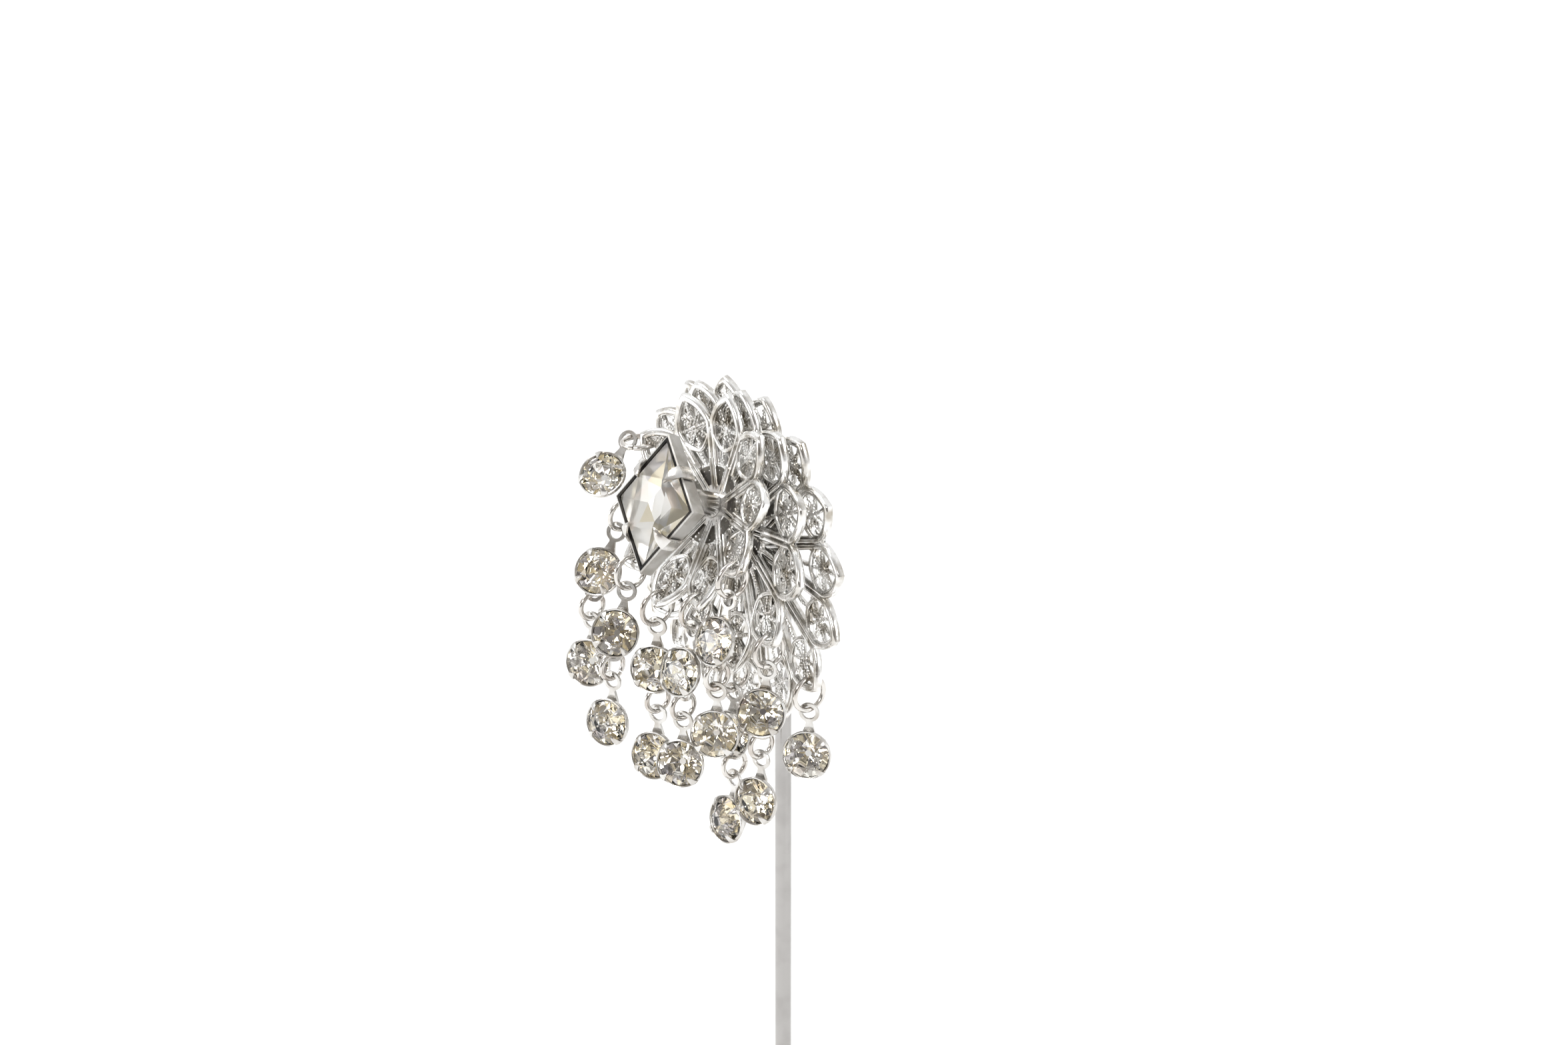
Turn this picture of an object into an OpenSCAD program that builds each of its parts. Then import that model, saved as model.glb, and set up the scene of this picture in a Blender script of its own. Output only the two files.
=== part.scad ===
// Hat pin with a layered filigree head, a lozenge crystal and hanging crystal drops.
// The origin is where the straight shaft leaves whatever it is pushed into; the shaft
// runs down -Z and the head looks along -Y, tipped upwards.

/* [Filigree] */
// Tip radius of the front filigree layer
front_r = 13.2; // [12.9:0.1:13.5]
// Tip radius of the middle filigree layer
middle_r = 17.1; // [16.9:0.1:17.4]
// Tip radius of the back filigree layer
back_r = 20.6; // [20.4:0.1:20.9]
// Thickness of the filigree sheet
sheet_t = 0.8; // [0.7:0.05:0.8]
// Width of a petal's rim
rim_w = 0.85; // [0.7:0.05:0.9]

/* [Centre crystal] */
// Long diagonal of the lozenge setting
lozenge_long = 16.4; // [15:0.2:17]
// Short diagonal of the lozenge setting
lozenge_short = 14.4; // [13:0.2:15]
// Roll of the lozenge's long diagonal
lozenge_roll = 12; // [0:1:20]

/* [Drops] */
// Outer diameter of a drop's cup
cup_d = 5.8; // [5.6:0.1:5.9]
// Outer diameter of a jump ring on the filigree
ring_d = 4.7; // [4.6:0.1:4.8]
// Outer diameter of a jump ring between two drops
link_d = 3.75; // [3.7:0.05:3.9]
// Wire diameter of the jump rings
ring_wire = 0.65; // [0.5:0.05:0.65]

/* [Pin] */
// Diameter of the shaft
shaft_d = 2.0; // [1.6:0.1:2]
// Straight length of the shaft below the origin
shaft_len = 108; // [80:1:140]

/* [Hidden] */
$fn = 32;
FRONT = 0;
MIDDLE = 1;
BACK = 2;
// Middle of the front layer's ring of petal tips
HEAD = [0, -13.1, 16.6];
// Each layer: petals, tip radius, turn, tilt, depth of its bowl, hub radius, place of its tips
LAYERS = [
    [10, front_r, 0, 24, 2.8, 5, [0, 0, 0]],
    [12, middle_r, 4, 10, 2, 6.5, [0, 3.5, -4.2]],
    [16, back_r, 11.25, 4, 1.5, 9, [0, 6.3, -7.8]]
];
arch_h = 4.05;
arch_r = 9;
lattice_w = 0.6;
seam = 0.1;
rib_w = 0.5;
fit = 0.03;

// The post runs through the three hubs, square to the front layer
post_d = 3;
post_tilt = 24;
post_end = 7.9;
tenon_d = 2.4;
girdle_at = -7.6;
stone_drop = 1.2;
wall_t = 0.45;
wall_h = 1.4;
basket_h = 3.2;
floor_t = 0.6;
post_start = girdle_at + wall_h + basket_h + 0.01;
// The shaft leaves the socket and turns down
bend_r = 3;
socket_d = 3.4;
point_len = 6;

loop_r = 1;
loop_wire = 0.5;
loop_up = 5;
loop_down = 2.6;
cup_tip = 12;
cup_forward = 1.2;
petal_hang = 1.05;
// How far a ring's wire lies from the loop's wire that rests on it, middle to middle
wire_gap = (ring_wire + loop_wire) / 2 + 0.08;
// Each chain: letter, layer, petal's angle, side of the petal, how far along the flank, how far the
// first ring lies over sideways, how far the first drop hangs forwards, yaws of the drops
CHAINS = [
    ["a", FRONT, -72, -1, 0.22, 85, 38, [20]],
    ["b", FRONT, -108, -1, 0.28, 8, 25, [30, 30]],
    ["c", FRONT, -144, -1, 0.18, 0, 15, [38, 22]],
    ["d", FRONT, 180, 1, 0.1, 0, 0, [36, 26]],
    ["e", FRONT, 144, 1, 0.25, 0, 10, [12, 36]],
    ["f", FRONT, 108, 1, 0.42, 0, 12, [8, 40]],
    ["g", MIDDLE, 124, 1, 0.25, 0, 6, [40, 20]],
    ["h", BACK, 123.75, 1, 0.3, 0, 0, [40]],
    ["i", MIDDLE, 154, 1, 0.1, 0, 0, [24, 4]]
];
// Every link of every chain, as [chain, place in the chain]
LINKS = [for (c = CHAINS) for (k = [0:len(c[7]) - 1]) [c, k]];
function link_name(link) = str(link[0][0], link[1] + 1);

ROOT_NODES = ["center_stone", "stone_setting", "center_post", "filigree_front", "filigree_middle",
    "filigree_back", "spacer_collar", "back_plate", "pin_socket", "pin_shaft"];

function facing(tilt) = [0, -cos(tilt), sin(tilt)];
function rising(tilt) = [0, sin(tilt), cos(tilt)];
function half_angle(layer) = 180 / layer[0];
function bowl_angle(layer) = atan(layer[4] / (layer[1] - layer[5]));
function flat_r(layer) = layer[5] + (layer[1] - layer[5]) / cos(bowl_angle(layer));
function true_r(layer, s) = layer[5] + (s - layer[5]) * cos(bowl_angle(layer));
function hub_at(layer) = layer[6] - facing(layer[3]) * layer[4];
function valley_x(layer) = true_r(layer, flat_r(layer) - arch_h) * tan(half_angle(layer));
function chord(layer) = norm([valley_x(layer), arch_h]);
function sag(layer) = sqrt(arch_r * arch_r - pow(chord(layer) / 2, 2)) / chord(layer);
// Centre of the arc along a petal's right flank, in the petal's own flat plane
function arc_at(layer) = [valley_x(layer) / 2 - sag(layer) * arch_h,
    flat_r(layer) - arch_h / 2 - sag(layer) * valley_x(layer)];

// The middle of the rim, a fraction of the way from a petal's tip to its valley
function flank(layer, part) = let (c = arc_at(layer), r = arch_r - rim_w / 2,
    tip = acos(-c[0] / r), valley = asin((flat_r(layer) - arch_h - c[1]) / arch_r),
    turn = tip + (valley - tip) * part) c + r * [cos(turn), sin(turn)];

// Where the rim point of a petal lies in space
function rim_point(layer, angle, side, part) = let (p = flank(layer, part),
    u = side * p[0], s = true_r(layer, p[1]), lift = (p[1] - layer[5]) * sin(bowl_angle(layer)),
    x = u * cos(angle) + s * sin(angle), y = -u * sin(angle) + s * cos(angle))
    HEAD + hub_at(layer) + [x, 0, 0] + y * rising(layer[3]) + lift * facing(layer[3]);

function ring_r(k) = ((k == 0 ? ring_d : link_d) - ring_wire) / 2;
function tilt_of(chain, k) = k == 0 ? chain[6] : 0;
function lean_of(chain, k) = k == 0 ? chain[5] : 0;
function drop_dir(chain, k) = [0, -sin(tilt_of(chain, k)), -cos(tilt_of(chain, k))];
function hang_dir(chain, k) = cos(lean_of(chain, k)) * drop_dir(chain, k) - [sin(lean_of(chain, k)), 0, 0];
function bar_at(chain, k) = k == 0 ? rim_point(LAYERS[chain[1]], chain[2], chain[3], chain[4])
    : stone_at(chain, k - 1) + (loop_down + loop_r) * drop_dir(chain, k - 1);
function hang(k) = k == 0 ? petal_hang : ring_r(k) - wire_gap;
function ring_at(chain, k) = bar_at(chain, k) + hang(k) * hang_dir(chain, k);
function stone_at(chain, k) = ring_at(chain, k) + ring_r(k) * hang_dir(chain, k)
    + (loop_up + loop_r - wire_gap) * drop_dir(chain, k);

// Where the post's line meets the shaft's
bend_at = -(HEAD[1] + hub_at(LAYERS[FRONT])[1]) / cos(post_tilt);
bend_turn = 90 - post_tilt;
bend_reach = bend_r * tan(bend_turn / 2);

module in_layer(layer) {
    translate(HEAD + hub_at(layer)) rotate([90 - layer[3], 0, 0]) children();
}

// Puts a piece on the post: +Z points backwards, from 0 in the middle of the front hub
module on_post(at) {
    translate(HEAD + hub_at(LAYERS[FRONT])) rotate([-90 - post_tilt, 0, 0]) translate([0, 0, at]) children();
}

// ---------- filigree ----------

module petal_outline(layer, inset, wedge_inset) {
    c = arc_at(layer);
    low = layer[5] - 0.8;
    top = flat_r(layer);
    w_low = true_r(layer, low) * tan(half_angle(layer)) - wedge_inset;
    w_top = layer[1] * tan(half_angle(layer)) - wedge_inset;
    intersection() {
        translate(c) circle(r = arch_r - inset, $fn = 96);
        translate([-c[0], c[1]]) circle(r = arch_r - inset, $fn = 96);
        polygon([[-w_low, low], [w_low, low], [w_top, top], [-w_top, top]]);
    }
}

module petal_lattice(layer) {
    star = flat_r(layer) - 4.3;
    bar = flat_r(layer) - 7.3;
    translate([0, star]) circle(r = 1, $fn = 24);
    for (turn = [-40, 40]) translate([0, star]) rotate(turn) square([lattice_w, 9], center = true);
    translate([-4, bar]) square([8, lattice_w]);
    translate([-lattice_w / 2, layer[5] - 0.5]) square([lattice_w, star - layer[5]]);
}

module petal(layer) {
    translate([0, layer[5], 0]) rotate([bowl_angle(layer), 0, 0]) translate([0, -layer[5], -sheet_t / 2])
        linear_extrude(sheet_t) {
            difference() {
                petal_outline(layer, 0, seam);
                petal_outline(layer, rim_w, seam + rib_w);
            }
            intersection() {
                petal_outline(layer, 0.3, seam + 0.2);
                petal_lattice(layer);
            }
        }
}

// A drop of solder that joins two petals where their flanks meet
module seam_bead(layer) {
    s = flat_r(layer) - arch_h - 0.75;
    translate([0, true_r(layer, s), (s - layer[5]) * sin(bowl_angle(layer)) - 0.55])
        cylinder(r = 0.42, h = 1.1, $fn = 24);
}

module filigree(layer) {
    color("gainsboro") difference() {
        in_layer(layer) {
            for (k = [0:layer[0] - 1]) rotate([0, 0, -layer[2] - k * 360 / layer[0]]) {
                petal(layer);
                rotate([0, 0, half_angle(layer)]) seam_bead(layer);
            }
            translate([0, 0, -sheet_t / 2]) cylinder(r = layer[5], h = sheet_t);
        }
        on_post(-10) cylinder(d = post_d + 2 * fit, h = 30);
    }
}

module filigree_front() { filigree(LAYERS[FRONT]); }
module filigree_middle() { filigree(LAYERS[MIDDLE]); }
module filigree_back() { filigree(LAYERS[BACK]); }

// ---------- centre crystal ----------

// Puts a piece at the crystal's girdle: +Z looks out of the head, +Y is its long diagonal
module in_setting() {
    on_post(girdle_at) translate([0, stone_drop, 0]) rotate([180, 0, -lozenge_roll]) children();
}

// A lozenge whose sides lie a distance inside the setting's outline
module lozenge(inset, h) {
    a = lozenge_long / 2;
    b = lozenge_short / 2;
    shrink = 1 - inset * norm([a, b]) / (a * b);
    linear_extrude(h) scale(shrink) polygon([[0, a], [b, 0], [0, -a], [-b, 0]]);
}

module center_stone() {
    color("lightcyan") in_setting() {
        hull() {
            translate([0, 0, -3.6]) lozenge(4, 0.05);
            translate([0, 0, -0.15]) lozenge(wall_t + fit, 0.3);
        }
        hull() {
            translate([0, 0, 0.1]) lozenge(wall_t + fit, 0.05);
            translate([0, 0, 1.2]) lozenge(1.5, 0.05);
        }
    }
}

module stone_setting() {
    under = -wall_h - basket_h;
    color("silver") {
        difference() {
            in_setting() difference() {
                union() {
                    translate([0, 0, -wall_h]) lozenge(0, wall_h + 0.35);
                    hull() {
                        translate([0, 0, -wall_h]) lozenge(0, 0.1);
                        translate([0, 0, under]) lozenge(3.2, 0.1);
                    }
                }
                translate([0, 0, -1]) lozenge(wall_t, 9);
                hull() {
                    translate([0, 0, -1.1]) lozenge(wall_t, 0.2);
                    translate([0, 0, under + floor_t]) lozenge(3.5, 0.1);
                }
            }
            on_post(-9) cylinder(d = tenon_d + 2 * fit, h = 9);
        }
        in_setting() for (sx = [-1, 1]) for (sy = [-1, 1]) lozenge_claw(sx, sy);
    }
}

// A claw that rises from the middle of one side and folds in over the crystal
module lozenge_claw(sx, sy) {
    outward = atan2(sy / lozenge_short, sx / lozenge_long);
    translate([sx * lozenge_short / 4, sy * lozenge_long / 4, 0]) rotate([90, 0, outward])
        translate([0, 0, -0.9]) linear_extrude(1.8)
            polygon([[-0.02, -1.2], [0.4, -1.2], [0.4, 0.6], [-0.9, 1.55], [-2, 1.65], [-2, 1.42],
                [-1.2, 1.3], [-0.02, 0.34]]);
}

module center_post() {
    color("silver") {
        on_post(post_start) cylinder(d = post_d, h = post_end - post_start);
        on_post(post_start - floor_t) cylinder(d = tenon_d, h = 2 * floor_t);
    }
}

module spacer_collar() {
    color("silver") on_post(sheet_t / 2 + 0.01) difference() {
        cylinder(d = post_d + 2.2, h = 2);
        translate([0, 0, -1]) cylinder(d = post_d + 2 * fit, h = 4);
    }
}

// ---------- back and pin ----------

module back_plate() {
    layer = LAYERS[BACK];
    color("silver") difference() {
        in_layer(layer) translate([0, 3.6, -sheet_t / 2 - 0.71]) cylinder(r = 4.5, h = 0.7);
        on_post(-10) cylinder(d = post_d + 2 * fit, h = 30);
    }
}

module pin_socket() {
    color("silver") on_post(post_end + 0.02) difference() {
        cylinder(d = socket_d, h = bend_at - bend_reach - post_end - 0.1);
        translate([0, 0, 0.6]) cylinder(d = shaft_d + 2 * fit, h = 9);
    }
}

module pin_shaft() {
    top = HEAD[2] + hub_at(LAYERS[FRONT])[2] - facing(post_tilt)[2] * bend_at - bend_reach;
    start = post_end + 0.7;
    core = 0.8 * shaft_d;
    color("silver") {
        on_post(start) cylinder(d = shaft_d, h = bend_at - bend_reach - start);
        on_post(bend_at - bend_reach - 0.4) cylinder(d = core, h = 0.8);
        translate([0, -bend_r, top]) rotate([90, 0, 90])
            rotate_extrude(angle = bend_turn, $fn = 64) translate([bend_r, 0]) circle(d = shaft_d);
        translate([0, 0, top - 0.4]) cylinder(d = core, h = 0.8);
        translate([0, 0, -shaft_len]) cylinder(d = shaft_d, h = shaft_len + top);
        translate([0, 0, -shaft_len - point_len]) cylinder(d1 = 0.3, d2 = shaft_d, h = point_len);
    }
}

// ---------- drops ----------

module jump_ring(chain, k) {
    color("silver") translate(ring_at(chain, k)) rotate([0, lean_of(chain, k), 0]) rotate([0, 90, 0])
        rotate_extrude($fn = 48) translate([ring_r(k), 0]) circle(d = ring_wire, $fn = 20);
}

// Puts a piece on a drop's hanging line: +Z points up the line, from 0 at the stone
module on_drop(chain, k) {
    translate(stone_at(chain, k)) rotate([-tilt_of(chain, k), 0, 0]) rotate([0, 0, chain[7][k]]) children();
}

// Puts a piece on a stone's own axis: the table looks along +Z
module in_cup(chain, k) {
    on_drop(chain, k) translate([0, -cup_forward, 0]) rotate([90 - cup_tip, 0, 0]) children();
}

module loop() {
    rotate([90, 0, 0]) rotate_extrude($fn = 40) translate([loop_r, 0]) circle(d = loop_wire, $fn = 16);
}

module drop_setting(chain, k) {
    cup_r = cup_d / 2;
    connector = k < len(chain[7]) - 1;
    color("silver") {
        difference() {
            union() {
                in_cup(chain, k) rotate_extrude() polygon([[0, 0.2], [cup_r, 0.2], [cup_r, -0.25],
                    [1, -2.5], [0, -2.5]]);
                on_drop(chain, k) {
                    translate([0, 0, loop_up]) loop();
                    translate([-0.35, -0.25, cup_r - 1]) cube([0.7, 0.5, loop_up - loop_r - cup_r + 1.1]);
                    if (connector) translate([0, 0, -loop_down]) loop();
                }
            }
            in_cup(chain, k) rotate_extrude() polygon([[0, 0.5], [cup_r - 0.25, 0.5], [cup_r - 0.25, -0.15],
                [0.85, -2.2], [0, -2.2]]);
        }
        in_cup(chain, k) intersection() {
            rotate_extrude() polygon([[cup_r - 0.24, 0.1], [cup_r, 0.1], [cup_r, 0.45],
                [cup_r - 0.75, 1.1], [cup_r - 1, 1.1], [cup_r - 1, 0.9]]);
            for (turn = [45, 135]) rotate([0, 0, turn]) cube([8, 0.9, 4], center = true);
        }
    }
}

module drop_stone(chain, k) {
    r = cup_d / 2 - 0.28;
    color("lightcyan") in_cup(chain, k) rotate_extrude() polygon([[0, 0.85], [r - 1.2, 0.85], [r, 0.06],
        [r, -0.12], [0.75, -2.1], [0, -2.1]]);
}

for (l = LINKS) {
    jump_ring(l[0], l[1]);
    drop_setting(l[0], l[1]);
    drop_stone(l[0], l[1]);
}
center_stone();
stone_setting();
center_post();
filigree_front();
filigree_middle();
filigree_back();
spacer_collar();
back_plate();
pin_socket();
pin_shaft();
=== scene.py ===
"""Hat pin with a filigree head: the looks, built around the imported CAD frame. Metres throughout."""
import math
import random

import bmesh
import bpy
from mathutils import Matrix, Vector


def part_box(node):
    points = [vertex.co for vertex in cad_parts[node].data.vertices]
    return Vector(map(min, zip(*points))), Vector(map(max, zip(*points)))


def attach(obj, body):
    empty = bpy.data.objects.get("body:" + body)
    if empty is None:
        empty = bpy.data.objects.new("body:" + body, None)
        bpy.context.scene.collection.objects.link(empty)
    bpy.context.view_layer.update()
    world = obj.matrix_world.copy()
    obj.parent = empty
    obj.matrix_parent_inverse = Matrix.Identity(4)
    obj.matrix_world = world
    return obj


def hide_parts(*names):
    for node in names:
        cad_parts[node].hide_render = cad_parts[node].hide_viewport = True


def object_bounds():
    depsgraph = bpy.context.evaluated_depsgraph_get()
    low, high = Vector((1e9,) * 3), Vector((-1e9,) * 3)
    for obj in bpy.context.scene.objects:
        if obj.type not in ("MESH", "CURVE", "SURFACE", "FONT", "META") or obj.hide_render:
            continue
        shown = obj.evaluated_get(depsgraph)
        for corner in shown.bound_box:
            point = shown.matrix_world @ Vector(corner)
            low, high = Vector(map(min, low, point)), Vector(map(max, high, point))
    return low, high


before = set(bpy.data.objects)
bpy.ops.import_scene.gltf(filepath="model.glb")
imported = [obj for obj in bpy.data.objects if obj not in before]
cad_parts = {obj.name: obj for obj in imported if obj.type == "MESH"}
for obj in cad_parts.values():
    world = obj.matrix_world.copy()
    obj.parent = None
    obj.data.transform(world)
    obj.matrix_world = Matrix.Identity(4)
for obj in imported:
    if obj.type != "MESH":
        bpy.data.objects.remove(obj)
cad_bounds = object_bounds()
MM = 0.001
random.seed(7)

# ---------- layout, as the CAD has it ----------

HEAD = Vector((0, -13.1, 16.6))
# Each layer: node, petals, tip radius, turn, tilt, depth of its bowl, hub radius, middle of its tips
LAYERS = {
    "front": ("filigree_front", 10, 13.2, 0, 24, 2.8, 5, Vector((0, 0, 0))),
    "middle": ("filigree_middle", 12, 17.1, 4, 10, 2, 6.5, Vector((0, 3.5, -4.2))),
    "back": ("filigree_back", 16, 20.6, 11.25, 4, 1.5, 9, Vector((0, 6.3, -7.8))),
}
ARCH_H, ARCH_R = 4.05, 5.6
SHEET_T, RIM_W, RIB_W, SEAM = 0.8, 0.85, 0.5, 0.1
STAR_IN, CROSSBAR_IN, CROSSBAR_CURVE = 4.3, 6.9, 1.5
RIM_DOME, CROSSBAR_W, HUB_RIB_W, BEAD_R = 0.95, 0.6, 0.42, 0.46
GRAIN_STEP, GRAIN_R, GRAIN_STRAY = 0.36, (0.17, 0.25), 0.09
HUB_GRAIN_STEP, HUB_GRAIN_R, HUB_GRAIN_STRAY = 0.5, (0.15, 0.24), 0.08
STAR_ARMS = (-140, -88, -40, 0, 40, 88, 140)
ARM_PROFILE = [(-0.27, -0.18), (0.27, -0.18), (0.22, 0.12), (0, 0.2), (-0.22, 0.12)]
POST_TILT, GIRDLE_AT, STONE_DROP, ROLL = 24, -7.6, 1.2, 12
LOZENGE = (8.2, 7.2)
POST_D, POST_END = 3, 7.9
RING_WIRE, RING_D, LINK_D = 0.65, 4.7, 3.75
LOOP_R, LOOP_WIRE, LOOP_UP, LOOP_DOWN = 1, 0.5, 5, 2.6
CUP_R, CUP_TIP, CUP_FORWARD = 2.9, 12, 1.2
WIRE_GAP = (RING_WIRE + LOOP_WIRE) / 2 + 0.08
# Each chain: how far its first ring lies over sideways, how far its first drop hangs forwards,
# and the turns of its drops about their own lines
CHAINS = {
    "a": (85, 38, (20,)), "b": (8, 25, (30, 30)), "c": (0, 15, (38, 22)), "d": (0, 0, (36, 26)),
    "e": (0, 10, (12, 36)), "f": (0, 12, (8, 40)), "g": (0, 6, (40, 20)), "h": (0, 0, (40,)),
    "i": (0, 0, (24, 4)),
}


def turned(angle, axis):
    return Matrix.Rotation(math.radians(angle), 4, axis)


def facing(tilt):
    return Vector((0, -math.cos(math.radians(tilt)), math.sin(math.radians(tilt))))


def in_layer(layer):
    """A layer's own frame: z the way it faces, the hub's middle at the origin."""
    tilt, depth, place = layer[4], layer[5], layer[7]
    return Matrix.Translation(HEAD + place - facing(tilt) * depth) @ turned(90 - tilt, "X")


def on_post(at):
    """A place on the post's axis, z pointing backwards, measured from the front hub."""
    front = LAYERS["front"]
    return (Matrix.Translation(HEAD - facing(front[4]) * front[5]) @ turned(-90 - POST_TILT, "X")
            @ Matrix.Translation((0, 0, at)))


def in_setting():
    """The centre crystal's frame: z out of its table, its girdle at the origin."""
    return on_post(GIRDLE_AT) @ Matrix.Translation((0, STONE_DROP, 0)) @ turned(-ROLL, "Z") @ turned(180, "X")


class Drop:
    """One link of a chain: its ring, and the line its drop hangs on, from the CAD ring's box."""

    def __init__(self, chain, place):
        lean, tilt, yaws = CHAINS[chain]
        self.name = f"{chain}{place + 1}"
        self.first = place == 0
        self.connector = place + 1 < len(yaws)
        lean, tilt = (math.radians(lean), math.radians(tilt)) if self.first else (0, 0)
        down = Vector((0, -math.sin(tilt), -math.cos(tilt)))
        hang = down * math.cos(lean) - Vector((math.sin(lean), 0, 0))
        low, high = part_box("ring_" + self.name)
        self.ring_r = ((RING_D if self.first else LINK_D) - RING_WIRE) / 2
        self.ring = (Vector(low) + Vector(high)) / 2 / MM
        self.lean = lean
        stone = self.ring + hang * self.ring_r + down * (LOOP_UP + LOOP_R - WIRE_GAP)
        self.line = Matrix.Translation(stone) @ Matrix.Rotation(-tilt, 4, "X") @ turned(yaws[place], "Z")
        self.cup = self.line @ Matrix.Translation((0, -CUP_FORWARD, 0)) @ turned(90 - CUP_TIP, "X")


# ---------- mesh building ----------

class Shape:
    """Collects vertices and faces in millimetres, each face with a material number."""

    def __init__(self):
        self.verts, self.faces, self.mats = [], [], []

    def add(self, verts, faces, mat=0, at=None):
        base = len(self.verts)
        self.verts += [at @ Vector(v) if at else Vector(v) for v in verts]
        self.faces += [[base + i for i in f] for f in faces]
        self.mats += [mat] * len(faces)

    def loft(self, rings, closed=False, caps=True, mat=0, at=None):
        """Joins rings of equal length with quads; closed joins the last ring to the first."""
        n = len(rings[0])
        verts = [v for r in rings for v in r]
        faces = []
        for i in range(len(rings) if closed else len(rings) - 1):
            a, b = i * n, (i + 1) % len(rings) * n
            faces += [[a + k, a + (k + 1) % n, b + (k + 1) % n, b + k] for k in range(n)]
        if caps and not closed:
            faces += [list(range(n))[::-1], [len(verts) - n + k for k in range(n)]]
        self.add(verts, faces, mat, at)

    def sweep(self, path, profile, up, closed=False, mat=0, at=None):
        """Sweeps a profile of (side, height) points along a path; up gives the height direction."""
        rings = []
        n = len(path)
        for i, p in enumerate(path):
            before = path[(i - 1) % n] if closed or i else path[0]
            after = path[(i + 1) % n] if closed or i < n - 1 else path[-1]
            into = (p - before).normalized() if (p - before).length > 1e-9 else (after - p).normalized()
            out = (after - p).normalized() if (after - p).length > 1e-9 else into
            tangent = (into + out).normalized()
            side = tangent.cross(up).normalized()
            lift = side.cross(tangent).normalized()
            miter = 1 / max(0.45, tangent.dot(out))
            rings.append([p + side * (a * miter) + lift * b for a, b in profile])
        self.loft(rings, closed, True, mat, at)

    def revolve(self, outline, steps, mat=0, at=None):
        """Turns an outline of (radius, height) points, closed on itself, about Z."""
        rings = []
        for k in range(steps):
            a = 2 * math.pi * k / steps
            rings.append([Vector((r * math.cos(a), r * math.sin(a), z)) for r, z in outline])
        self.loft(rings, closed=True, mat=mat, at=at)

    def ball(self, centre, radius, mat=0, at=None, steps=6):
        rings = []
        for i in range(1, steps // 2 + 1):
            a = math.pi * i / (steps // 2 + 1)
            rings.append([Vector((math.sin(a) * math.cos(b), math.sin(a) * math.sin(b), math.cos(a)))
                          * radius + centre for b in (2 * math.pi * k / steps for k in range(steps))])
        self.loft(rings[::-1], mat=mat, at=at)

    def make(self, name, body, materials, smooth=35, replaces=()):
        mesh = bpy.data.meshes.new(name)
        mesh.from_pydata([v * MM for v in self.verts], [], self.faces)
        for m in materials:
            mesh.materials.append(m)
        for poly, mat in zip(mesh.polygons, self.mats):
            poly.material_index = mat
            poly.use_smooth = smooth > 0
        bm = bmesh.new()
        bm.from_mesh(mesh)
        bmesh.ops.remove_doubles(bm, verts=bm.verts, dist=1e-7)
        bmesh.ops.recalc_face_normals(bm, faces=bm.faces)
        bm.to_mesh(mesh)
        bm.free()
        if smooth:
            mesh.set_sharp_from_angle(angle=math.radians(smooth))
        piece = bpy.data.objects.new(name, mesh)
        bpy.context.collection.objects.link(piece)
        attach(piece, body)
        if replaces:
            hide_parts(*replaces)
        return piece


def circle_profile(radius, steps=10):
    return [(radius * math.cos(2 * math.pi * k / steps), radius * math.sin(2 * math.pi * k / steps))
            for k in range(steps)]


def claw(route, thick):
    """A tapering claw along (out, up, half width) stations, with a ridge down its back."""
    rings = []
    for i, (x, z, w) in enumerate(route):
        before, after = route[max(i - 1, 0)], route[min(i + 1, len(route) - 1)]
        dx, dz = after[0] - before[0], after[1] - before[1]
        length = math.hypot(dx, dz)
        ox, oz = dz / length * thick / 2, -dx / length * thick / 2
        rings.append([Vector((x - ox, -w, z - oz)), Vector((x + ox * 0.6, -w, z + oz * 0.6)),
                      Vector((x + ox, -w * 0.55, z + oz)), Vector((x + ox * 1.4, 0, z + oz * 1.4)),
                      Vector((x + ox, w * 0.55, z + oz)), Vector((x + ox * 0.6, w, z + oz * 0.6)),
                      Vector((x - ox, w, z - oz))])
    return rings


def rim_profile(width, height):
    """A stamped rim: flat underneath, domed on top."""
    w, h = width / 2, height / 2
    return [(-w, -h * 0.7), (-w * 0.8, -h), (w * 0.8, -h), (w, -h * 0.7), (w, h * 0.35), (w * 0.8, h * 0.78),
            (w * 0.45, h), (0, h * 1.08), (-w * 0.45, h), (-w * 0.8, h * 0.78), (-w, h * 0.35)]


# ---------- materials ----------

def new_material(name):
    mat = bpy.data.materials.new(name)
    mat.use_nodes = True
    nodes, links = mat.node_tree.nodes, mat.node_tree.links
    return mat, nodes, links, nodes["Principled BSDF"]


def add_noise(nodes, links, scale, detail=3.0, coords=None):
    if coords is None:
        coords = nodes.new("ShaderNodeTexCoord")
    noise = nodes.new("ShaderNodeTexNoise")
    noise.inputs["Scale"].default_value = scale
    noise.inputs["Detail"].default_value = detail
    links.new(coords.outputs["Object"], noise.inputs["Vector"])
    return noise


def add_ramp(nodes, links, source, stops):
    ramp = nodes.new("ShaderNodeValToRGB")
    for i, (pos, color) in enumerate(stops):
        stop = ramp.color_ramp.elements[i] if i < 2 else ramp.color_ramp.elements.new(pos)
        stop.position = pos
        stop.color = (*color, 1)
    links.new(source, ramp.inputs["Fac"])
    return ramp


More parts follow.
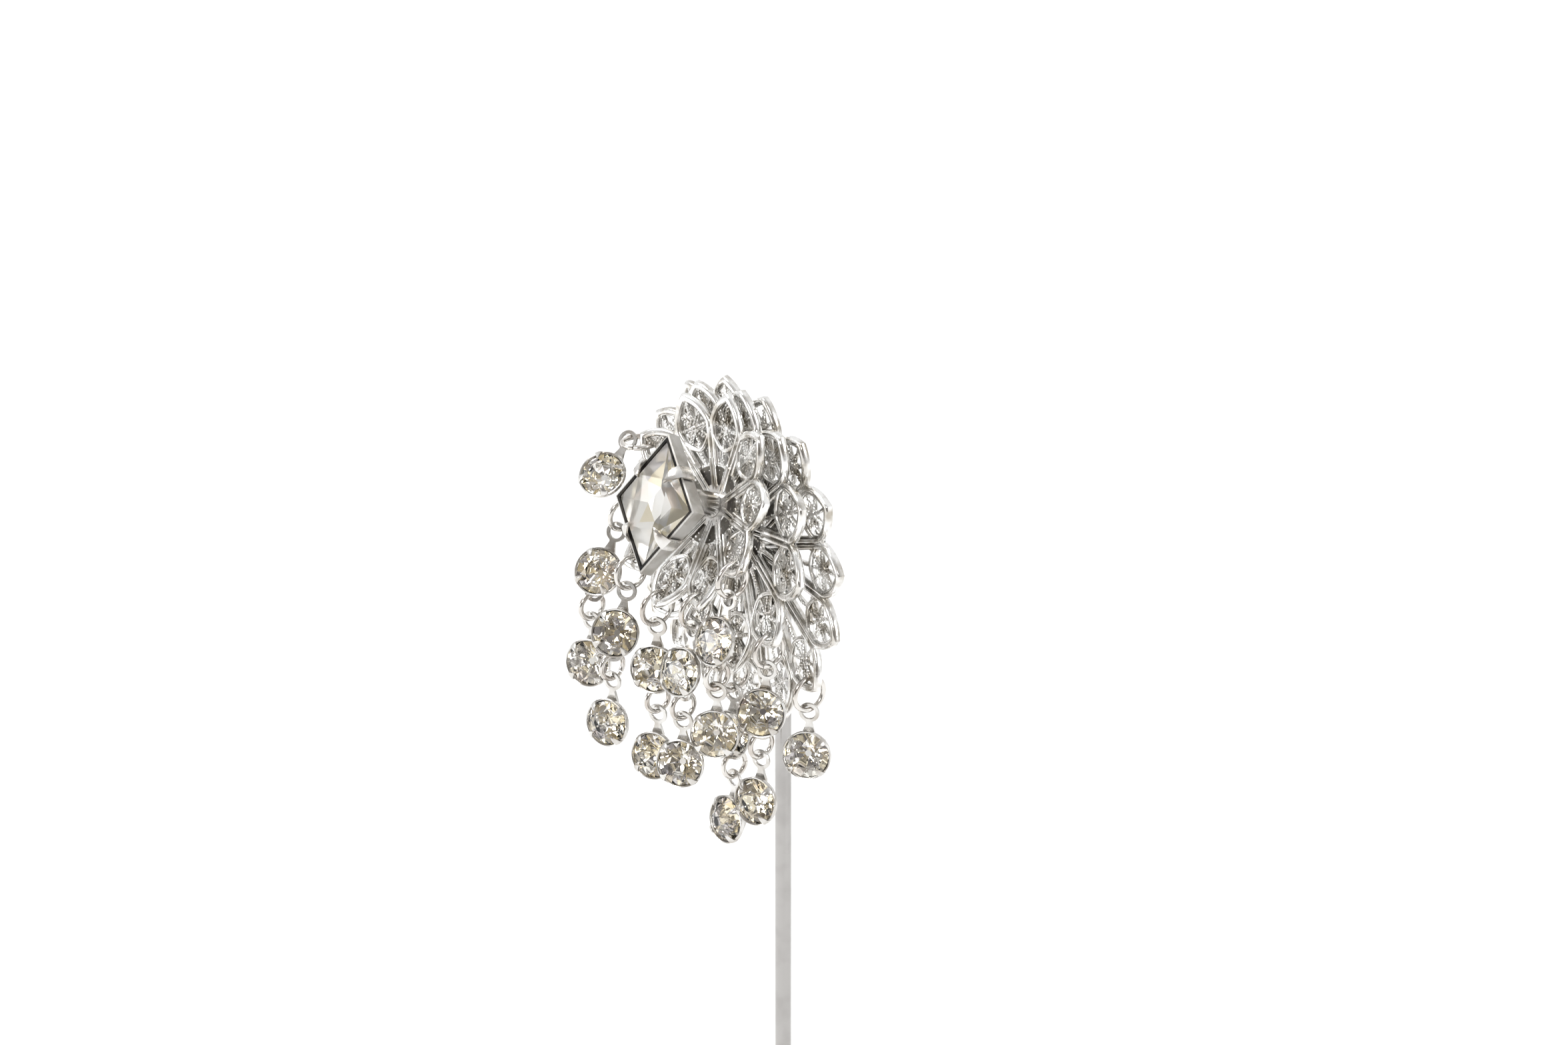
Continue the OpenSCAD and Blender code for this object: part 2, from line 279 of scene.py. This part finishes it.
def metal(name, light, dark, rough, bump, grain=900, tarnish=0.35):
    """Plated metal: warm grey film in patches, fine handling marks and a slight ripple."""
    mat, nodes, links, shader = new_material(name)
    patches = add_noise(nodes, links, 420)
    tint = add_ramp(nodes, links, patches.outputs["Fac"], [(tarnish, dark), (tarnish + 0.22, light)])
    fine = add_noise(nodes, links, grain, 4)
    gloss = nodes.new("ShaderNodeMapRange")
    gloss.inputs["To Min"].default_value = rough[0]
    gloss.inputs["To Max"].default_value = rough[1]
    links.new(fine.outputs["Fac"], gloss.inputs["Value"])
    ripple = nodes.new("ShaderNodeBump")
    ripple.inputs["Strength"].default_value = bump
    ripple.inputs["Distance"].default_value = 0.00006
    links.new(fine.outputs["Fac"], ripple.inputs["Height"])
    links.new(tint.outputs["Color"], shader.inputs["Base Color"])
    links.new(gloss.outputs["Result"], shader.inputs["Roughness"])
    links.new(ripple.outputs["Normal"], shader.inputs["Normal"])
    shader.inputs["Metallic"].default_value = 1
    return mat


def glass(name):
    """Clear paste, with the faintest warm cast in depth."""
    mat, nodes, links, shader = new_material(name)
    haze = add_noise(nodes, links, 300)
    tint = add_ramp(nodes, links, haze.outputs["Fac"], [(0.3, (0.985, 0.98, 0.965)), (0.7, (1, 1, 1))])
    links.new(tint.outputs["Color"], shader.inputs["Base Color"])
    shader.inputs["Roughness"].default_value = 0.0
    shader.inputs["IOR"].default_value = 1.58
    shader.inputs["Transmission Weight"].default_value = 1
    return mat


def foil(name, tone, other, rough=0.03, metallic=1):
    """The silvered back of a paste stone, seen through it: one tone that drifts into another."""
    mat, nodes, links, shader = new_material(name)
    patches = add_noise(nodes, links, 240, 1)
    tint = add_ramp(nodes, links, patches.outputs["Fac"], [(0.4, tone), (0.6, other)])
    links.new(tint.outputs["Color"], shader.inputs["Base Color"])
    shader.inputs["Metallic"].default_value = metallic
    shader.inputs["Roughness"].default_value = rough
    return mat


SILVER = metal("bright_plate", (0.66, 0.65, 0.63), (0.45, 0.42, 0.38), (0.16, 0.3), 0.3)
FILIGREE = metal("filigree_plate", (0.84, 0.835, 0.82), (0.42, 0.39, 0.34), (0.1, 0.26), 0.4, 1500, 0.34)
# Near-black metal for the hub's dished hollow: painted shade, the recess darkened where shade falls.
HUB_PAINTED_SHADE = metal("dull_hollow", (0.16, 0.15, 0.13), (0.07, 0.065, 0.06), (0.4, 0.6), 0.5, 900)
BRUSHED = metal("brushed_wall", (0.55, 0.54, 0.52), (0.4, 0.38, 0.35), (0.34, 0.5), 0.5, 700)
# Near-black metal for the seam round the centre crystal: painted shadow standing in for the gap between stone
# and wall.
SEAM_SHADOW = metal("dark_gap", (0.05, 0.045, 0.04), (0.02, 0.02, 0.02), (0.5, 0.7), 0.2)
WIRE = metal("ring_wire", (0.68, 0.66, 0.63), (0.5, 0.46, 0.42), (0.1, 0.2), 0.12)
STEEL = metal("pin_steel", (0.4, 0.39, 0.38), (0.36, 0.35, 0.34), (0.16, 0.24), 0.06, 700)
SOLDER = metal("solder", (0.6, 0.59, 0.56), (0.45, 0.43, 0.4), (0.3, 0.45), 0.6, 800)
CRYSTAL = glass("crystal")
# Foil tones, the commonest first
TONES = {
    "white": ((0.99, 0.985, 0.97), (0.93, 0.92, 0.88)),
    "straw": ((0.94, 0.87, 0.7), (0.86, 0.79, 0.62)),
    "blush": ((0.96, 0.86, 0.78), (0.94, 0.92, 0.88)),
    "smoke": ((0.55, 0.53, 0.55), (0.72, 0.7, 0.7)),
}
FOILS = [foil("foil_" + name, *tones) for name, tones in TONES.items()]
SOFT_FOILS = [foil("soft_foil_" + name, *tones, 0.12, 0.7) for name, tones in TONES.items()]


# ---------- filigree ----------

class Petal:
    """One petal's plan, in its layer: x across, y out from the hub."""

    def __init__(self, layer):
        _, self.count, self.tip, _, _, self.depth, self.hub, _ = layer
        self.bowl = math.atan(self.depth / (self.tip - self.hub))
        self.flat = self.hub + (self.tip - self.hub) / math.cos(self.bowl)
        self.half = math.pi / self.count
        vx = self.true_r(self.flat - ARCH_H) * math.tan(self.half)
        chord = math.hypot(vx, ARCH_H)
        sag = math.sqrt(ARCH_R ** 2 - chord ** 2 / 4) / chord
        self.arc = Vector((vx / 2 - sag * ARCH_H, self.flat - ARCH_H / 2 - sag * vx))

    def true_r(self, s):
        return self.hub + (s - self.hub) * math.cos(self.bowl)

    def rise(self, s):
        """Height of the bowl at flat distance s: a curve that meets the CAD's cone at hub and tip."""
        t = (s - self.hub) / (self.flat - self.hub)
        return self.depth * t if t < 0 else self.depth * (0.86 * t + 0.14 * t * t)

    def place(self, u, s, h=0.0):
        """A point on the bent sheet, in the layer's frame."""
        tilt = self.bowl
        return Vector((u, self.true_r(s) - h * math.sin(tilt), self.rise(s) + h * math.cos(tilt)))

    def outline(self, inset_rim, inset_side, low, steps=9):
        """Half outline from the hub to the tip on the right side, as (u, s) points."""
        r = ARCH_R - inset_rim
        tip = math.acos(-self.arc.x / r)
        points = []

        def side(s):
            return self.true_r(s) * math.tan(self.half) - inset_side
        cross = None
        for i in range(200):
            a = tip * (1 - i / 200)
            u, s = self.arc.x + r * math.cos(a), self.arc.y + r * math.sin(a)
            if u >= side(s):
                cross = a
                break
        cross = cross if cross is not None else 0.0
        s_cross = self.arc.y + r * math.sin(cross)
        for k in range(5):
            s = low + (s_cross - low) * k / 5
            points.append((side(s), s))
        for k in range(steps + 1):
            a = cross + (tip - cross) * k / steps
            points.append((self.arc.x + r * math.cos(a), self.arc.y + r * math.sin(a)))
        return points

    def loop(self, inset_rim, inset_side, low):
        right = self.outline(inset_rim, inset_side, low)
        left = [(-u, s) for u, s in right[::-1][1:]]
        return right + left


def reach(p, turn):
    """How far a lattice arm runs from the star before it meets the petal's rim."""
    star = p.flat - STAR_IN
    for step in range(20, 200):
        t = step * 0.04
        u, s = abs(math.sin(turn)) * t, star + math.cos(turn) * t
        beyond_arc = math.hypot(u - p.arc.x, s - p.arc.y) > ARCH_R - RIM_W * 0.7
        if beyond_arc or u > p.true_r(s) * math.tan(p.half) - SEAM - RIB_W * 0.7:
            return t
    return 4


def petal_shape(shape, layer, at, rnd):
    """A petal: crowned rim, lattice arms from a star, stem and crossbar, all thick with grains."""
    p = Petal(layer)
    normal = Vector((0, -math.sin(p.bowl), math.cos(p.bowl)))
    low = p.hub - 0.3
    rim = [p.place(u, s) for u, s in p.loop(RIM_W / 2, SEAM + RIB_W * 0.55, low)]
    shape.sweep(rim, rim_profile(RIM_DOME, SHEET_T + 0.1), normal, at=at)
    star = p.flat - STAR_IN
    arms = [(0, low, 0, star)]
    for degrees in STAR_ARMS:
        turn = math.radians(degrees)
        length = reach(p, turn)
        arms.append((0, star, math.sin(turn) * length, star + math.cos(turn) * length))
    bar = p.flat - CROSSBAR_IN
    if bar > p.hub + 0.3:
        cup = []
        for k in range(-6, 7):
            s = bar + CROSSBAR_CURVE * (k / 6) ** 2
            cup.append(p.place((p.true_r(s) * math.tan(p.half) - SEAM - RIB_W * 0.5) * k / 6, s, 0.02))
        shape.sweep(cup, rim_profile(CROSSBAR_W, SHEET_T), normal, at=at)
    for u0, s0, u1, s1 in arms:
        path = [p.place(u0 + (u1 - u0) * k / 3, s0 + (s1 - s0) * k / 3, -0.05) for k in range(4)]
        shape.sweep(path, ARM_PROFILE, normal, at=at)
    boss = at @ Matrix.Translation(p.place(0, star)) @ Matrix.Rotation(p.bowl, 4, "X")
    shape.revolve([(0.0, 0.3), (0.65, 0.22), (0.9, 0.0), (0.85, -0.3), (0.0, -0.34)], 12, at=boss)
    grains = [(0, star, 0.32)]
    for k in range(6):
        grains.append((0.52 * math.cos(k * math.pi / 3), star + 0.52 * math.sin(k * math.pi / 3), 0.24))
    for u0, s0, u1, s1 in arms:
        length = math.hypot(u1 - u0, s1 - s0)
        count = int((length - 0.5) / GRAIN_STEP)
        for k in range(count):
            t = (0.7 + k * GRAIN_STEP) / length
            if t < 0.93:
                grains.append((u0 + (u1 - u0) * t, s0 + (s1 - s0) * t, 0.16))
    for u, s, h in grains:
        off = [rnd.uniform(-GRAIN_STRAY, GRAIN_STRAY) for _ in range(3)]
        shape.ball(p.place(u + off[0], s + off[1], h + off[2] / 2), rnd.uniform(*GRAIN_R), at=at)


def filigree(key):
    """One stamped layer: petals with solder beads between them, ribs and grains over a dished hub."""
    layer = LAYERS[key]
    node, count, _, turn, _, _, hub, _ = layer
    shape = Shape()
    base = in_layer(layer)
    p = Petal(layer)
    rnd = random.Random(node)
    for k in range(count):
        at = base @ turned(-turn - k * 360 / count, "Z")
        petal_shape(shape, layer, at, rnd)
        bead = at @ turned(180 / count, "Z") @ Matrix.Translation(p.place(0, p.flat - ARCH_H - 0.75))
        shape.ball(Vector((0, 0, 0)), BEAD_R, at=bead, steps=10)
    bore = POST_D / 2 + 0.05
    dish = [(bore, -1.2), (hub - 0.2, -0.4), (hub, -0.3), (hub, 0.0), (hub - 0.4, 0.05), (bore, -0.85)]
    shape.revolve(dish, 48, at=base)
    # A near-black lining laid over the dish: painted shade in the hub's hollow.
    shape.revolve([(bore, -0.82), (hub - 0.4, 0.08), (hub - 0.4, 0), (bore, -0.9)], 48, 1, at=base)
    normal = Vector((0, 0, 1))
    for k in range(count):
        at = base @ turned(-turn - k * 360 / count, "Z")
        for side in (-1, 1):
            rib = []
            for step in range(6):
                s = hub + 0.4 + (bore + 0.3 - hub - 0.4) * step / 5
                rib.append(p.place(side * max(0.12, p.true_r(s) * math.tan(p.half) - 0.3), s, 0.25))
            shape.sweep(rib, rim_profile(HUB_RIB_W, SHEET_T), normal, at=at)
        radius = bore + 0.6
        while radius < hub:
            spread = radius * math.tan(p.half) - 0.45
            for u in ([0] if spread < 0.25 else [-spread * 0.5, spread * 0.5]):
                across = u + rnd.uniform(-HUB_GRAIN_STRAY, HUB_GRAIN_STRAY)
                along = radius + rnd.uniform(-HUB_GRAIN_STRAY, HUB_GRAIN_STRAY)
                shape.ball(p.place(across, along, 0.1), rnd.uniform(*HUB_GRAIN_R), at=at)
            radius += HUB_GRAIN_STEP
    return shape.make(node + "_openwork", "head", [FILIGREE, HUB_PAINTED_SHADE], 40, [node])


# ---------- centre crystal ----------

def lozenge_ring(inset, z, steps=1):
    """The lozenge's corners, drawn in by a distance, with points between them if asked."""
    a, b = LOZENGE
    shrink = 1 - inset * math.hypot(a, b) / (a * b)
    corners = [Vector((0, a)), Vector((b, 0)), Vector((0, -a)), Vector((-b, 0))]
    points = []
    for i in range(4):
        for k in range(steps):
            v = corners[i].lerp(corners[(i + 1) % 4], k / steps) * shrink
            points.append(Vector((v.x, v.y, z)))
    return points


def foil_facets(shape, verts, faces, at, seed):
    """Adds a stone's back facets, each in a foil tone of its own."""
    rnd = random.Random("foil" + seed)
    base = len(shape.verts)
    shape.add(verts, [], 0, at)
    for face in faces:
        shape.faces.append([base + i for i in face])
        shape.mats.append(1 + rnd.choices(range(4), (5, 4, 1.5, 1.5))[0])


def center_stone():
    """The lozenge crystal: a table between the sides' middles, four broad corner facets, narrow side
    facets, and a foiled pavilion cut in steps."""
    shape = Shape()
    at = in_setting()
    table = []
    for v in lozenge_ring(1.3, 1.22, 2)[1::2]:
        table += [v.lerp(Vector((0, 0, 1.22)), 0.04)]
    verts = table + lozenge_ring(0.5, 0.12) + lozenge_ring(0.5, -0.14, 2)
    verts += lozenge_ring(2.2, -1.0, 2) + lozenge_ring(4.1, -1.9)
    faces = [[3, 2, 1, 0]]
    for i in range(4):
        before, after = (i - 1) % 4, (i + 1) % 4
        faces += [[4 + i, i, before], [4 + i, 4 + after, i]]
        faces.append([4 + i, 8 + 2 * i, 9 + 2 * i, 8 + 2 * after, 4 + after])
    split = len(faces)
    for k in range(8):
        n = (k + 1) % 8
        faces.append([8 + k, 16 + k, 16 + n, 8 + n])
    for i in range(4):
        after = (i + 1) % 4
        corner, between, beyond = 16 + 2 * i, 17 + 2 * i, 16 + 2 * after
        faces += [[24 + i, corner, between], [24 + i, between, 24 + after], [24 + after, between, beyond]]
    faces.append([24, 25, 26, 27])
    shape.add(verts, faces[:split], 0, at)
    foil_facets(shape, verts, faces[split:], at, "lozenge")
    return shape.make("lozenge_crystal", "head", [CRYSTAL] + SOFT_FOILS, 0, ["center_stone"])


def stone_setting():
    """The lozenge's brushed wall and tapered base, a painted shadow round the crystal, and four claws."""
    shape = Shape()
    at = in_setting()
    wall = []
    for inset, z in ((0.0, 0.3), (0.0, -1.3), (0.12, -1.5), (3.2, -4.58), (4.3, -4.58), (4.3, -4.05),
                     (3.5, -4.02), (0.44, -1.1), (0.42, 0.3), (0.2, 0.38)):
        wall.append(lozenge_ring(inset, z, 8))
    shape.loft(wall, closed=True, at=at)
    shape.loft([lozenge_ring(4.5, -4.55, 8), lozenge_ring(4.5, -4.1, 8)], at=at)
    a, b = LOZENGE
    for sx in (-1, 1):
        for sy in (-1, 1):
            outward = math.atan2(sy / b, sx / a)
            claw_at = at @ Matrix.Translation((sx * b / 2, sy * a / 2, 0)) @ Matrix.Rotation(outward, 4, "Z")
            route = [(0.16, -1.2, 0.95), (0.2, -0.3, 0.95), (0.2, 0.45, 0.9), (-0.1, 0.85, 0.8),
                     (-0.6, 1.25, 0.64), (-1.1, 1.45, 0.44), (-1.6, 1.55, 0.2), (-1.95, 1.52, 0.04)]
            shape.loft(claw(route, 0.26), mat=1, at=claw_at)
    # A near-black ring inside the wall's lip: painted shadow for the gap round the crystal.
    band = [(0.24, 0.42), (0.56, 0.4), (0.56, 0.1), (0.24, 0.1)]
    shape.loft([lozenge_ring(inset, z, 8) for inset, z in band], closed=True, mat=2, at=at)
    return shape.make("lozenge_setting", "head", [BRUSHED, SILVER, SEAM_SHADOW], 30,
                      ["stone_setting"])


# ---------- post, plate and pin ----------

def head_hardware():
    """What holds the layers together: the tube post, the collar and the disc at the back."""
    post = Shape()
    start = GIRDLE_AT + 4.61
    post.revolve([(0, start - 0.5), (1.18, start - 0.5), (1.18, start), (1.42, start + 0.05),
                  (1.5, start + 0.25), (1.5, POST_END - 0.2), (1.4, POST_END), (0, POST_END)], 40,
                 at=on_post(0))
    post.make("tube_post", "head", [SILVER], 30, ["center_post"])
    collar = Shape()
    collar.revolve([(1.54, 0.42), (2.45, 0.42), (2.6, 0.6), (2.6, 2.2), (2.45, 2.4), (1.54, 2.4)], 40,
                   at=on_post(0))
    collar.make("collar", "head", [SILVER], 30, ["spacer_collar"])
    plate = Shape()
    back = in_layer(LAYERS["back"]) @ Matrix.Translation((0, 3.6, -SHEET_T / 2 - 0.71))
    plate.revolve([(0.1, 0.02), (4.2, 0.02), (4.5, 0.2), (4.5, 0.55), (4.3, 0.68), (0.1, 0.68)], 64, at=back)
    plate.make("backing_disc", "head", [SILVER], 30, ["back_plate"])


def pin():
    """The shaft, bent at its neck and ground to a point, and the socket it is soldered in."""
    bend_r, turn, r = 3.0, math.radians(90 - POST_TILT), 1.0
    reach = bend_r * math.tan(turn / 2)
    hub = HEAD - facing(POST_TILT) * LAYERS["front"][5]
    bend_at = -hub.y / math.cos(math.radians(POST_TILT))
    away = -facing(POST_TILT)
    corner = hub + away * bend_at
    start = corner - away * (bend_at - POST_END - 0.7)
    path = [start.lerp(corner - away * reach, k / 4) for k in range(4)]
    top = corner.z - reach
    for k in range(15):
        a = turn * (1 - k / 14)
        path.append(Vector((0, -bend_r + bend_r * math.cos(a), top + bend_r * math.sin(a))))
    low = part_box("pin_shaft")[0][2] / MM
    body = [top - (top - (low + 6)) * k / 24 for k in range(1, 25)]
    path += [Vector((0, 0, z)) for z in body]
    radii = [r] * len(path)
    for k in range(1, 13):
        path.append(Vector((0, 0, low + 6 - 6 * k / 12)))
        radii.append(max(0.12, r * math.sqrt(max(0.0, 1 - (k / 12) ** 1.5))))
    shape = Shape()
    rings = []
    for i, p in enumerate(path):
        tangent = (path[min(i + 1, len(path) - 1)] - path[max(i - 1, 0)]).normalized()
        side = Vector((1, 0, 0))
        other = tangent.cross(side).normalized()
        rings.append([p + side * radii[i] * math.cos(2 * math.pi * k / 28)
                      + other * radii[i] * math.sin(2 * math.pi * k / 28) for k in range(28)])
    shape.loft(rings)
    shape.make("bent_shaft", "head", [STEEL], 30, ["pin_shaft"])
    socket = Shape()
    end = bend_at - reach - 0.08
    a = POST_END + 0.02
    socket.revolve([(1.04, a + 0.6), (1.04, end), (1.5, end), (1.68, end - 0.15), (1.7, a + 0.2), (1.6, a),
                    (0, a), (0, a + 0.6)], 40, at=on_post(0))
    socket.make("solder_socket", "head", [SOLDER], 30, ["pin_socket"])


# ---------- drops ----------

def jump_ring(drop):
    """Round wire bent to a ring, its two ends almost meeting."""
    at = Matrix.Translation(drop.ring) @ Matrix.Rotation(drop.lean, 4, "Y") @ turned(90, "Y")
    rnd = random.Random(drop.name)
    cut = rnd.uniform(0, 2 * math.pi)
    gap = 0.04
    steps = 64
    path = []
    for k in range(steps + 1):
        a = cut + gap + (2 * math.pi - 2 * gap) * k / steps
        path.append(Vector((drop.ring_r * math.cos(a), drop.ring_r * math.sin(a), 0.06 * (k / steps - 0.5))))
    shape = Shape()
    shape.sweep(path, circle_profile(RING_WIRE / 2 * 0.98, 16), Vector((0, 0, 1)), at=at)
    shape.make("jump_ring_" + drop.name, "link_" + drop.name, [WIRE], 40, ["ring_" + drop.name])


def drop_setting(drop):
    """A spun sheet cup with four bent claws, a neck and one eyelet, or two on a connector."""
    shape = Shape()
    r = CUP_R
    shape.revolve([(r - 0.18, 0.22), (r - 0.06, 0.26), (r, 0.18), (r, -0.22), (r - 0.16, -0.42), (1.12, -2.3),
                   (0.92, -2.46), (0.7, -2.5), (0.0, -2.5), (0.0, -2.2), (0.82, -2.2), (r - 0.27, -0.2)], 56,
                  at=drop.cup)
    eyelet = [(0.24, 0.08), (0.18, 0.19), (-0.18, 0.19), (-0.24, 0.08), (-0.24, -0.08), (-0.18, -0.19),
              (0.18, -0.19), (0.24, -0.08)]
    for z in [LOOP_UP] + ([-LOOP_DOWN] if drop.connector else []):
        path = [Vector((LOOP_R * math.cos(a), 0, LOOP_R * math.sin(a) + z))
                for a in (2 * math.pi * k / 40 for k in range(40))]
        shape.sweep(path, eyelet, Vector((0, 1, 0)), closed=True, at=drop.line)
    rings = []
    for z, w in ((CUP_R - 1, 0.7), (CUP_R - 0.4, 0.75), (CUP_R + 0.3, 0.5), (LOOP_UP - LOOP_R - 0.3, 0.36),
                 (LOOP_UP - LOOP_R + 0.1, 0.5)):
        rings.append([Vector((w * sx, 0.2 * sy, z)) for sx, sy in ((-1, -1), (1, -1), (1, 1), (-1, 1))])
    shape.loft(rings, at=drop.line)
    for turn in (45, 135, 225, 315):
        route = [(r - 0.36, -0.6, 0.4), (r - 0.1, -0.2, 0.46), (r - 0.05, 0.2, 0.48), (r - 0.12, 0.42, 0.42),
                 (r - 0.4, 0.68, 0.34), (r - 0.75, 0.92, 0.22), (r - 1.0, 1.02, 0.1), (r - 1.1, 1.0, 0.03)]
        shape.loft(claw(route, 0.2), at=drop.cup @ turned(turn, "Z"))
    shape.make("claw_cup_" + drop.name, "drop_" + drop.name, [SILVER], 32,
               ["setting_" + drop.name])


def drop_stone(drop):
    """A round paste brilliant: table, star, kite and girdle facets above, foiled pavilion below."""
    shape = Shape()
    r = CUP_R - 0.29
    turn = random.Random("facet" + drop.name).uniform(0, math.pi / 4)

    def ring(radius, z, count, shift):
        angles = [turn + (k + shift) * 2 * math.pi / count for k in range(count)]
        return [Vector((radius * math.cos(a), radius * math.sin(a), z)) for a in angles]
    verts = ring(1.38, 0.84, 8, 0) + ring(2.08, 0.5, 8, 0.5) + ring(r, 0.05, 16, 0.5)
    verts += ring(r, -0.11, 16, 0.5) + ring(1.5, -1.22, 8, 0.5) + ring(0.4, -2.08, 8, 0)
    t, c, u, d, p, q = 0, 8, 16, 32, 48, 56
    faces = [list(range(7, -1, -1))]
    for k in range(8):
        n, before = (k + 1) % 8, (k - 1) % 8
        faces += [[t + k, c + k, t + n], [c + before, u + (2 * k - 1) % 16, u + 2 * k, c + k, t + k],
                  [c + k, u + 2 * k, u + 2 * k + 1]]
    for k in range(16):
        n = (k + 1) % 16
        faces.append([u + k, d + k, d + n, u + n])
    split = len(faces)
    for k in range(8):
        n = (k + 1) % 8
        faces += [[d + 2 * k, p + k, d + 2 * k + 1], [d + 2 * k + 1, p + k, p + n, d + (2 * k + 2) % 16],
                  [p + k, q + k, q + n], [p + k, q + n, p + n]]
    faces.append([q + k for k in range(8)])
    shape.add(verts, faces[:split], 0, drop.cup)
    foil_facets(shape, verts, faces[split:], drop.cup, drop.name)
    shape.make("paste_" + drop.name, "drop_" + drop.name, [CRYSTAL] + FOILS, 0,
               ["stone_" + drop.name])


# ---------- studio ----------

FLOOR_GAP, FLOOR_HALF = 0.0005, 3.0
# Each soft lamp: name, place, width, power
LAMPS = [("key", (-0.55, -0.35, 0.85), 0.5, 8), ("side", (0.9, 0.35, 0.45), 0.45, 5),
         ("low", (-0.5, -0.9, 0.1), 0.3, 1.5), ("fill", (0.4, -0.85, 0.62), 0.3, 3)]


def studio():
    """A pale floor, a room that is darker on the camera's side, and soft lamps."""
    floor_z = cad_bounds[0][2] - FLOOR_GAP
    corners = [(x * FLOOR_HALF, y * FLOOR_HALF, floor_z) for x, y in ((-1, -1), (1, -1), (1, 1), (-1, 1))]
    mesh = bpy.data.meshes.new("floor")
    mesh.from_pydata(corners, [], [[0, 1, 2, 3]])
    floor = bpy.data.objects.new("floor", mesh)
    bpy.context.collection.objects.link(floor)
    mat, _, _, shader = new_material("pale_floor")
    shader.inputs["Base Color"].default_value = (0.86, 0.86, 0.86, 1)
    shader.inputs["Roughness"].default_value = 0.6
    mesh.materials.append(mat)
    world = bpy.data.worlds.new("studio")
    bpy.context.scene.world = world
    world.use_nodes = True
    nodes, links = world.node_tree.nodes, world.node_tree.links
    coords = nodes.new("ShaderNodeTexCoord")
    room = nodes.new("ShaderNodeVectorMath")
    room.operation = "DOT_PRODUCT"
    room.inputs[1].default_value = (0.55, -0.8, 0.22)
    links.new(coords.outputs["Generated"], room.inputs[0])
    shade = add_ramp(nodes, links, room.outputs["Value"],
                     [(0.08, (1.0, 1.0, 1.0)), (0.45, (0.68, 0.68, 0.68)), (0.8, (0.5, 0.475, 0.45)),
                      (0.95, (0.24, 0.225, 0.21))])
    links.new(shade.outputs["Color"], nodes["Background"].inputs["Color"])
    for name, place, size, power in LAMPS:
        lamp = bpy.data.lights.new(name, "AREA")
        lamp.size, lamp.energy = size, power
        light = bpy.data.objects.new(name, lamp)
        light.location = place
        light.rotation_euler = (HEAD * MM - Vector(place)).to_track_quat("-Z", "Y").to_euler()
        bpy.context.collection.objects.link(light)
    bpy.context.scene.view_settings.view_transform = "Standard"


def camera():
    """Looks from the head's right, 54 degrees round and 24.6 up, as the photograph does."""
    azimuth, elevation, lens, view_width = math.radians(54), math.radians(24.6), 100, 0.181
    right = Vector((math.cos(azimuth), math.sin(azimuth), 0))
    back = Vector((math.sin(azimuth) * math.cos(elevation), -math.cos(azimuth) * math.cos(elevation),
                   math.sin(elevation)))
    up = back.cross(right)
    target = HEAD * MM + right * 0.0107 - up * 0.0025
    data = bpy.data.cameras.new("camera")
    data.lens, data.sensor_width = lens, 36
    data.clip_start = 0.01
    eye = bpy.data.objects.new("camera", data)
    eye.matrix_world = Matrix((right, up, back)).transposed().to_4x4()
    eye.location = target + back * (view_width * lens / 36)
    bpy.context.collection.objects.link(eye)
    bpy.context.scene.camera = eye


camera()
studio()
for key in LAYERS:
    filigree(key)
center_stone()
stone_setting()
head_hardware()
pin()
for chain, (_, _, turns) in CHAINS.items():
    for place in range(len(turns)):
        drop = Drop(chain, place)
        jump_ring(drop)
        drop_setting(drop)
        drop_stone(drop)
